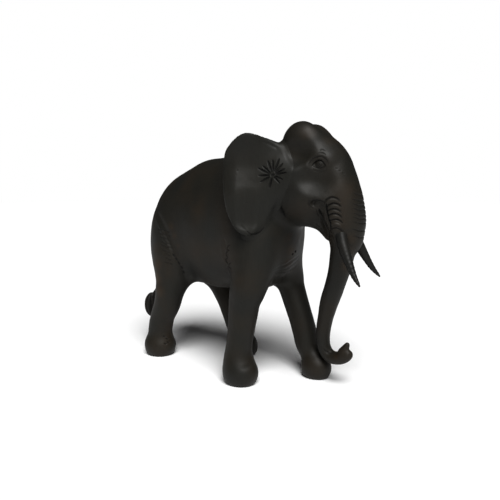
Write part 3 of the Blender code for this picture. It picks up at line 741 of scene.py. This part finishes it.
# fore foot: crease over the toes; hind foot: cuts of the knife
on_body([(252.8, 361.8), (250.0, 365.4), (246.0, 367.6), (241.0, 368.4)], 2.6, 0.7, "s", 0.1, far=False)
for x, y in ((164.6, 336.6), (167.2, 338.6), (168.4, 342.2), (165.6, 343.8)):
    on_body([(x - 1.7, y - 0.9), (x, y + 0.1), (x + 1.6, y - 0.3)], 0.95, 0.6, "u", 0.6, far=False)
for x, y in ((244.0, 300.6), (241.6, 302.8)):
    on_body([(x - 1.0, y), (x + 1.0, y + 0.2)], 0.6, 0.3, "u", 0.3, far=False)
# tip of the trunk: crease of the knob and the nostril rim
on_body([(323.4, 349.0), (326.2, 351.6), (329.8, 352.8), (333.6, 352.6)], 1.5, 0.8, "v", 0.5, far=False)
for o in (0.0, 1.7, 3.3):
    on_body([(343.4 + o, 351.6 - 0.6 * o), (345.2 + o, 354.2 - 0.6 * o), (347.2 + o * 0.9, 357.6 - 0.7 * o)], 0.7, 0.45, "v", 0.35, far=False)

ALLMARKS, EARMARKS = build_marks()
SIZ = Sizes((-112, -64, -6), (184, 64, 252), 1.5, 2.7)
SIZ.box((75, -36, 132), (152, 42, 250), 1.35)
SIZ.box((108, 0, 18), (160, 40, 150), 1.5)
for L_, fr in FEET: SIZ.box((fr[0] - 20, fr[1] - 19, -4), (fr[0] + 26, fr[1] + 19, 34), 1.9)
for m in ALLMARKS:
    wide = float(m[1].max())
    SIZ.stamp(m[0][::3], wide + 0.5, 1.6 if m[3] == "s" else (0.52 if wide < 1.2 else 0.62))
ESIZ = {}
for s in (-1, 1):
    E = Sizes((60, -84 if s < 0 else 0, 136), (140, 0 if s < 0 else 88, 240), 1.5, 1.3)
    for m in EARMARKS[s]: E.stamp(m[0][::3], float(m[1].max()) + 0.5, 1.1 if m[3] == "s" else 0.5)
    ESIZ[s] = E


def body_size(P): return SIZ(P)
def ear_size(s): return ESIZ[s]


# where handling has rubbed the stain thin: (picture place, radius mm, amount)
WEAR = [(156, 246, 9, 0.9), (157, 262, 9, 1.0), (157, 278, 8, 1.0), (159, 292, 8, 0.8), (163, 232, 6, 0.55), (171, 226, 5, 0.6),
        (174, 236, 4.5, 0.6), (178, 246, 4, 0.5), (350, 240, 7, 0.75), (350, 252, 8, 0.9), (347, 264, 7, 0.7), (343, 300, 7, 0.8),
        (341, 310, 6, 0.6), (292, 250, 7, 0.8), (290, 262, 7, 0.6), (298, 236, 5, 0.6), (346, 350, 5, 0.7), (336, 357, 4, 0.5),
        (331, 134, 8, 0.55), (336, 141, 7, 0.45), (226, 222, 6, 0.25), (215, 288, 9, 0.25), (285, 238, 6, 0.35)]
WEAR3 = [(c, r, a) for c, (_, _, r, a) in zip(land(near_fn, [q[:2] for q in WEAR]), WEAR)]


def wear_at(P):
    w = np.zeros(len(P))
    for c, r, a in WEAR3:
        for q in (c, c * np.array([1, -1, 1])):
            w = np.maximum(w, a * np.exp(-(((P - q) ** 2).sum(1)) / (r * r)))
    w = np.maximum(w, 0.18 + 0.22 * noise(P.astype(F32), 21.0, 3.3))
    return np.clip(w, 0, 1)


def normals(P, T):
    n = np.cross(P[T[:, 1]] - P[T[:, 0]], P[T[:, 2]] - P[T[:, 0]])
    N = np.zeros_like(P)
    for c in range(3):
        for i in range(3): N[:, i] += np.bincount(T[:, c], n[:, i], len(P))
    return N / (np.linalg.norm(N, axis=1)[:, None] + 1e-12)


def knife_skin(P, amp=1.0):
    """The slow unevenness a blade and sandpaper leave on hand-cut wood."""
    Q = P.astype(F32)
    return amp * (0.34 * noise(Q, 19.0, 1.7) + 0.13 * noise(Q, 7.5, 5.1) + 0.045 * noise(Q, 3.1, 9.4))


def carve(P, T):
    N = normals(P, T)
    P = P + N * knife_skin(P)[:, None]
    P, painted_shade = apply_marks(P, N, ALLMARKS)
    return P, painted_shade, wear_at(P)


def carve_ear(P, T, s):
    N = normals(P, T)
    P = P + N * knife_skin(P)[:, None]
    P, painted_shade = apply_marks(P, N, EARMARKS[s])
    return P, painted_shade, wear_at(P) * 0.6


def carve_tusk(P, T, s):
    N = normals(P, T)
    P = P + N * (0.10 * noise(P.astype(F32), 9.0, 2.2))[:, None]
    return P, np.zeros(len(P)), np.clip(0.25 * noise(P.astype(F32), 9.0, 4.0), 0, 1)


def carve_tail(P, T):
    N = normals(P, T)
    P = P + N * (0.22 * noise(P.astype(F32), 5.0, 2.2))[:, None]
    h = P[:, 2] - 47; ang = np.arctan2(P[:, 1] + 14.5, P[:, 0] + 101)
    g = np.clip(-np.cos(7 * ang + 0.6 + 0.05 * h), 0, 1) ** 2 * (np.abs(h) < 13)
    # the tuft's grooves are cut in and their colour darkened with painted shade
    return P - N * (0.45 * g)[:, None], 0.6 * g, 0.15 + 0.0 * g


# ------------------------------------------------------------------ wood
def nodes(mat):
    mat.use_nodes = True
    nt = mat.node_tree; nt.nodes.clear()
    return nt, nt.nodes.new, nt.links.new


def wood(name, base, warm, rough=0.54, grain_axis=2, scale=1.0):
    """Ebonised hardwood: near black, fine open grain, soft wax sheen, brown where the stain has rubbed thin, and
    painted shade darkening the carved cuts.
    """
    mat = bpy.data.materials.new(name)
    nt, N, L = nodes(mat)
    out = N("ShaderNodeOutputMaterial"); bs = N("ShaderNodeBsdfPrincipled"); L(bs.outputs[0], out.inputs[0])
    tc = N("ShaderNodeTexCoord")
    mp = N("ShaderNodeMapping"); L(tc.outputs["Object"], mp.inputs[0])
    st = [900.0 * scale, 900.0 * scale, 900.0 * scale]; st[grain_axis] = 60.0 * scale
    mp.inputs["Scale"].default_value = st
    gr = N("ShaderNodeTexNoise"); gr.inputs["Scale"].default_value = 1.0; gr.inputs["Detail"].default_value = 4.0
    gr.inputs["Roughness"].default_value = 0.6; L(mp.outputs[0], gr.inputs["Vector"])
    bl = N("ShaderNodeTexNoise"); bl.inputs["Scale"].default_value = 26.0; bl.inputs["Detail"].default_value = 5.0
    L(tc.outputs["Object"], bl.inputs["Vector"])
    fine = N("ShaderNodeTexNoise"); fine.inputs["Scale"].default_value = 420.0; fine.inputs["Detail"].default_value = 3.0
    L(tc.outputs["Object"], fine.inputs["Vector"])
    # base colour: charcoal with a green-olive cast, lighter along the grain
    c1 = N("ShaderNodeMix"); c1.data_type = "RGBA"; c1.inputs[6].default_value = (*[x * 0.72 for x in base], 1)
    c1.inputs[7].default_value = (*[x * 1.28 for x in base], 1); L(gr.outputs[0], c1.inputs[0])
    wr = N("ShaderNodeAttribute"); wr.attribute_name = "wear"; wr.attribute_type = "GEOMETRY"
    brk = N("ShaderNodeMath"); brk.operation = "MULTIPLY"; L(wr.outputs["Fac"], brk.inputs[0])
    rr = N("ShaderNodeMapRange"); L(bl.outputs[0], rr.inputs[0]); rr.inputs[1].default_value = 0.30; rr.inputs[2].default_value = 0.62
    L(rr.outputs[0], brk.inputs[1])
    c2 = N("ShaderNodeMix"); c2.data_type = "RGBA"; L(brk.outputs[0], c2.inputs[0]); L(c1.outputs[2], c2.inputs[6])
    c2.inputs[7].default_value = (*warm, 1)
    # painted shade: carved cuts and grooves are darkened to near black
    cv = N("ShaderNodeAttribute"); cv.attribute_name = "hollow"; cv.attribute_type = "GEOMETRY"
    painted_shade_mix = N("ShaderNodeMix"); painted_shade_mix.data_type = "RGBA"; L(cv.outputs["Fac"], painted_shade_mix.inputs[0]); L(c2.outputs[2], painted_shade_mix.inputs[6])
    painted_shade_mix.inputs[7].default_value = (0.0025, 0.0022, 0.0018, 1)
    L(painted_shade_mix.outputs[2], bs.inputs["Base Color"])
    ro = N("ShaderNodeMapRange"); L(bl.outputs[0], ro.inputs[0]); ro.inputs[3].default_value = rough - 0.06; ro.inputs[4].default_value = rough + 0.10
    ro2 = N("ShaderNodeMath"); ro2.operation = "MULTIPLY_ADD"; L(cv.outputs["Fac"], ro2.inputs[0]); ro2.inputs[1].default_value = 0.30; L(ro.outputs[0], ro2.inputs[2])
    L(ro2.outputs[0], bs.inputs["Roughness"])
    bs.inputs["IOR"].default_value = 1.48
    bs.inputs["Specular IOR Level"].default_value = 0.32
    bs.inputs["Coat Weight"].default_value = 0.03
    bs.inputs["Coat Roughness"].default_value = 0.30
    b1 = N("ShaderNodeBump"); b1.inputs["Strength"].default_value = 0.16; b1.inputs["Distance"].default_value = 0.0002; L(gr.outputs[0], b1.inputs["Height"])
    b2 = N("ShaderNodeBump"); b2.inputs["Strength"].default_value = 0.22; b2.inputs["Distance"].default_value = 0.0004; L(fine.outputs[0], b2.inputs["Height"])
    L(b1.outputs[0], b2.inputs["Normal"]); L(b2.outputs[0], bs.inputs["Normal"])
    return mat


WOOD = wood("ebonised_wood", (0.0135, 0.0135, 0.0110), (0.045, 0.027, 0.0125))
EARWOOD = wood("ebonised_ear", (0.0150, 0.0150, 0.0122), (0.045, 0.027, 0.0125))
TUSKWOOD = wood("ebonised_tusk", (0.0125, 0.0122, 0.0105), (0.034, 0.023, 0.013), rough=0.50)
TAILWOOD = wood("ebonised_tail", (0.0125, 0.0115, 0.0098), (0.034, 0.021, 0.011))

# ------------------------------------------------------------------ build
def attr(ob, name, val):
    a = ob.data.attributes.new(name, "FLOAT", "POINT"); a.data.foreach_set("value", np.asarray(val, F32))


def plain_size(s): return lambda P: np.full(len(P), s)


def finish_piece(ob, node):
    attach(ob, "root"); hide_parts(node)


H0 = 2.4
bP, bT = skin(body, (-100, -58, -3), (178, 58, 248), H0, body_size)
# carving returns the moved skin, the painted shade in its cuts, and the rubbed wear
bP, painted_shade, wear = carve(bP, bT)
ob = make_object("elephant_body", bP, bT, WOOD); attr(ob, "hollow", painted_shade); attr(ob, "wear", wear)
finish_piece(ob, "carved_body")
for s, side in ((-1, "right"), (1, "left")):
    O, ea, en = ear_axes(s)
    A, B_ = O - ea * 22, O + ea * 50
    lo = np.minimum(A, B_) - 16; hi = np.maximum(A, B_) + 16; lo[2], hi[2] = 136, 238
    P, T = skin(lambda p, s=s: ear_with_root(p, s), lo, hi, 1.3, ear_size(s), rounds=3)
    P, painted_shade, wear = carve_ear(P, T, s)
    ob = make_object(side + "_ear_carved", P, T, EARWOOD); attr(ob, "hollow", painted_shade); attr(ob, "wear", wear)
    finish_piece(ob, side + "_ear")
    tb = h2b([(34, s * 13, 158), (63, s * 29, 104)])
    lo = tb.min(0) - 7; hi = tb.max(0) + 7
    P, T = skin(lambda p, s=s: tusk(p, s), lo, hi, 0.7, plain_size(0.75), rounds=1)
    P, painted_shade, wear = carve_tusk(P, T, s)
    ob = make_object(side + "_tusk_carved", P, T, TUSKWOOD); attr(ob, "hollow", painted_shade); attr(ob, "wear", wear)
    finish_piece(ob, side + "_tusk")
P, T = skin(tail, (-112, -26, 28), (-72, 6, 172), 0.9, plain_size(0.9), rounds=1)
P, painted_shade, wear = carve_tail(P, T)
ob = make_object("tail_carved", P, T, TAILWOOD); attr(ob, "hollow", painted_shade); attr(ob, "wear", wear)
finish_piece(ob, "tail")
for n in ("right_ear_dowel", "left_ear_dowel"):
    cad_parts[n].data.materials.clear(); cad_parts[n].data.materials.append(WOOD)

# ------------------------------------------------------------------ floor, light, camera
fl = bpy.data.meshes.new("floor")
fl.from_pydata([(-6, -6, 0), (6, -6, 0), (6, 6, 0), (-6, 6, 0)], [], [(0, 1, 2, 3)])
floor = bpy.data.objects.new("floor", fl); bpy.context.scene.collection.objects.link(floor)
fm = bpy.data.materials.new("floor_paper"); nt, N, L = nodes(fm)
o = N("ShaderNodeOutputMaterial"); b = N("ShaderNodeBsdfPrincipled"); L(b.outputs[0], o.inputs[0])
tx = N("ShaderNodeTexNoise"); tx.inputs["Scale"].default_value = 3.0
mx = N("ShaderNodeMix"); mx.data_type = "RGBA"; mx.inputs[6].default_value = (0.90, 0.90, 0.90, 1); mx.inputs[7].default_value = (0.93, 0.93, 0.93, 1)
L(tx.outputs[0], mx.inputs[0]); L(mx.outputs[2], b.inputs["Base Color"])
b.inputs["Roughness"].default_value = 0.9; b.inputs["Specular IOR Level"].default_value = 0.1
fl.materials.append(fm)

world = bpy.data.worlds.new("studio"); bpy.context.scene.world = world
world.use_nodes = True
wn = world.node_tree.nodes; wl = world.node_tree.links
bg = wn["Background"]; bg.inputs[0].default_value = (1, 1, 1, 1); bg.inputs[1].default_value = 0.06
vis = wn.new("ShaderNodeBackground"); vis.inputs[0].default_value = (1, 1, 1, 1); vis.inputs[1].default_value = 1.0
lp = wn.new("ShaderNodeLightPath"); mixw = wn.new("ShaderNodeMixShader")
wl.new(lp.outputs["Is Camera Ray"], mixw.inputs[0]); wl.new(bg.outputs[0], mixw.inputs[1]); wl.new(vis.outputs[0], mixw.inputs[2])
wl.new(mixw.outputs[0], wn["World Output"].inputs[0])
bpy.context.scene.view_settings.view_transform = "Standard"
bpy.context.scene.view_settings.gamma = 0.82


def softbox(name, at, to, size, power, col=(1, 1, 1)):
    li = bpy.data.lights.new(name, "AREA"); li.shape = "RECTANGLE"; li.size, li.size_y = size; li.energy = power; li.color = col
    o = bpy.data.objects.new(name, li); bpy.context.scene.collection.objects.link(o)
    at = Vector(at); o.location = at
    o.rotation_euler = (Vector(to) - at).to_track_quat("-Z", "Y").to_euler()
    return o


def row(f, l, z): return ((l + SHIFT[0]) * 0.001, (-f + SHIFT[1]) * 0.001, z * 0.001)


def sun(name, frm, energy, spread):
    li = bpy.data.lights.new(name, "SUN"); li.energy = energy; li.angle = math.radians(spread)
    o = bpy.data.objects.new(name, li); bpy.context.scene.collection.objects.link(o)
    o.rotation_euler = (-Vector(frm)).to_track_quat("-Z", "Y").to_euler(); o.location = Vector(frm) * 0.6
    return o


# broad soft light from high on the camera's side, slightly from its right
sun("key_high", (-0.50, -0.62, 1.05), 4.4, 34)

cam = bpy.data.cameras.new("camera"); cam.lens = 36.0; cam.sensor_width = 36.0; cam.sensor_fit = "HORIZONTAL"
co = bpy.data.objects.new("camera", cam); bpy.context.scene.collection.objects.link(co)
co.location = row(*CAM_B)
look = _A * math.cos(PITCH) + np.array([0, 0, -math.sin(PITCH)])
lw = Vector((look[1], -look[0], look[2]))
co.rotation_euler = lw.to_track_quat("-Z", "Y").to_euler()
bpy.context.scene.camera = co
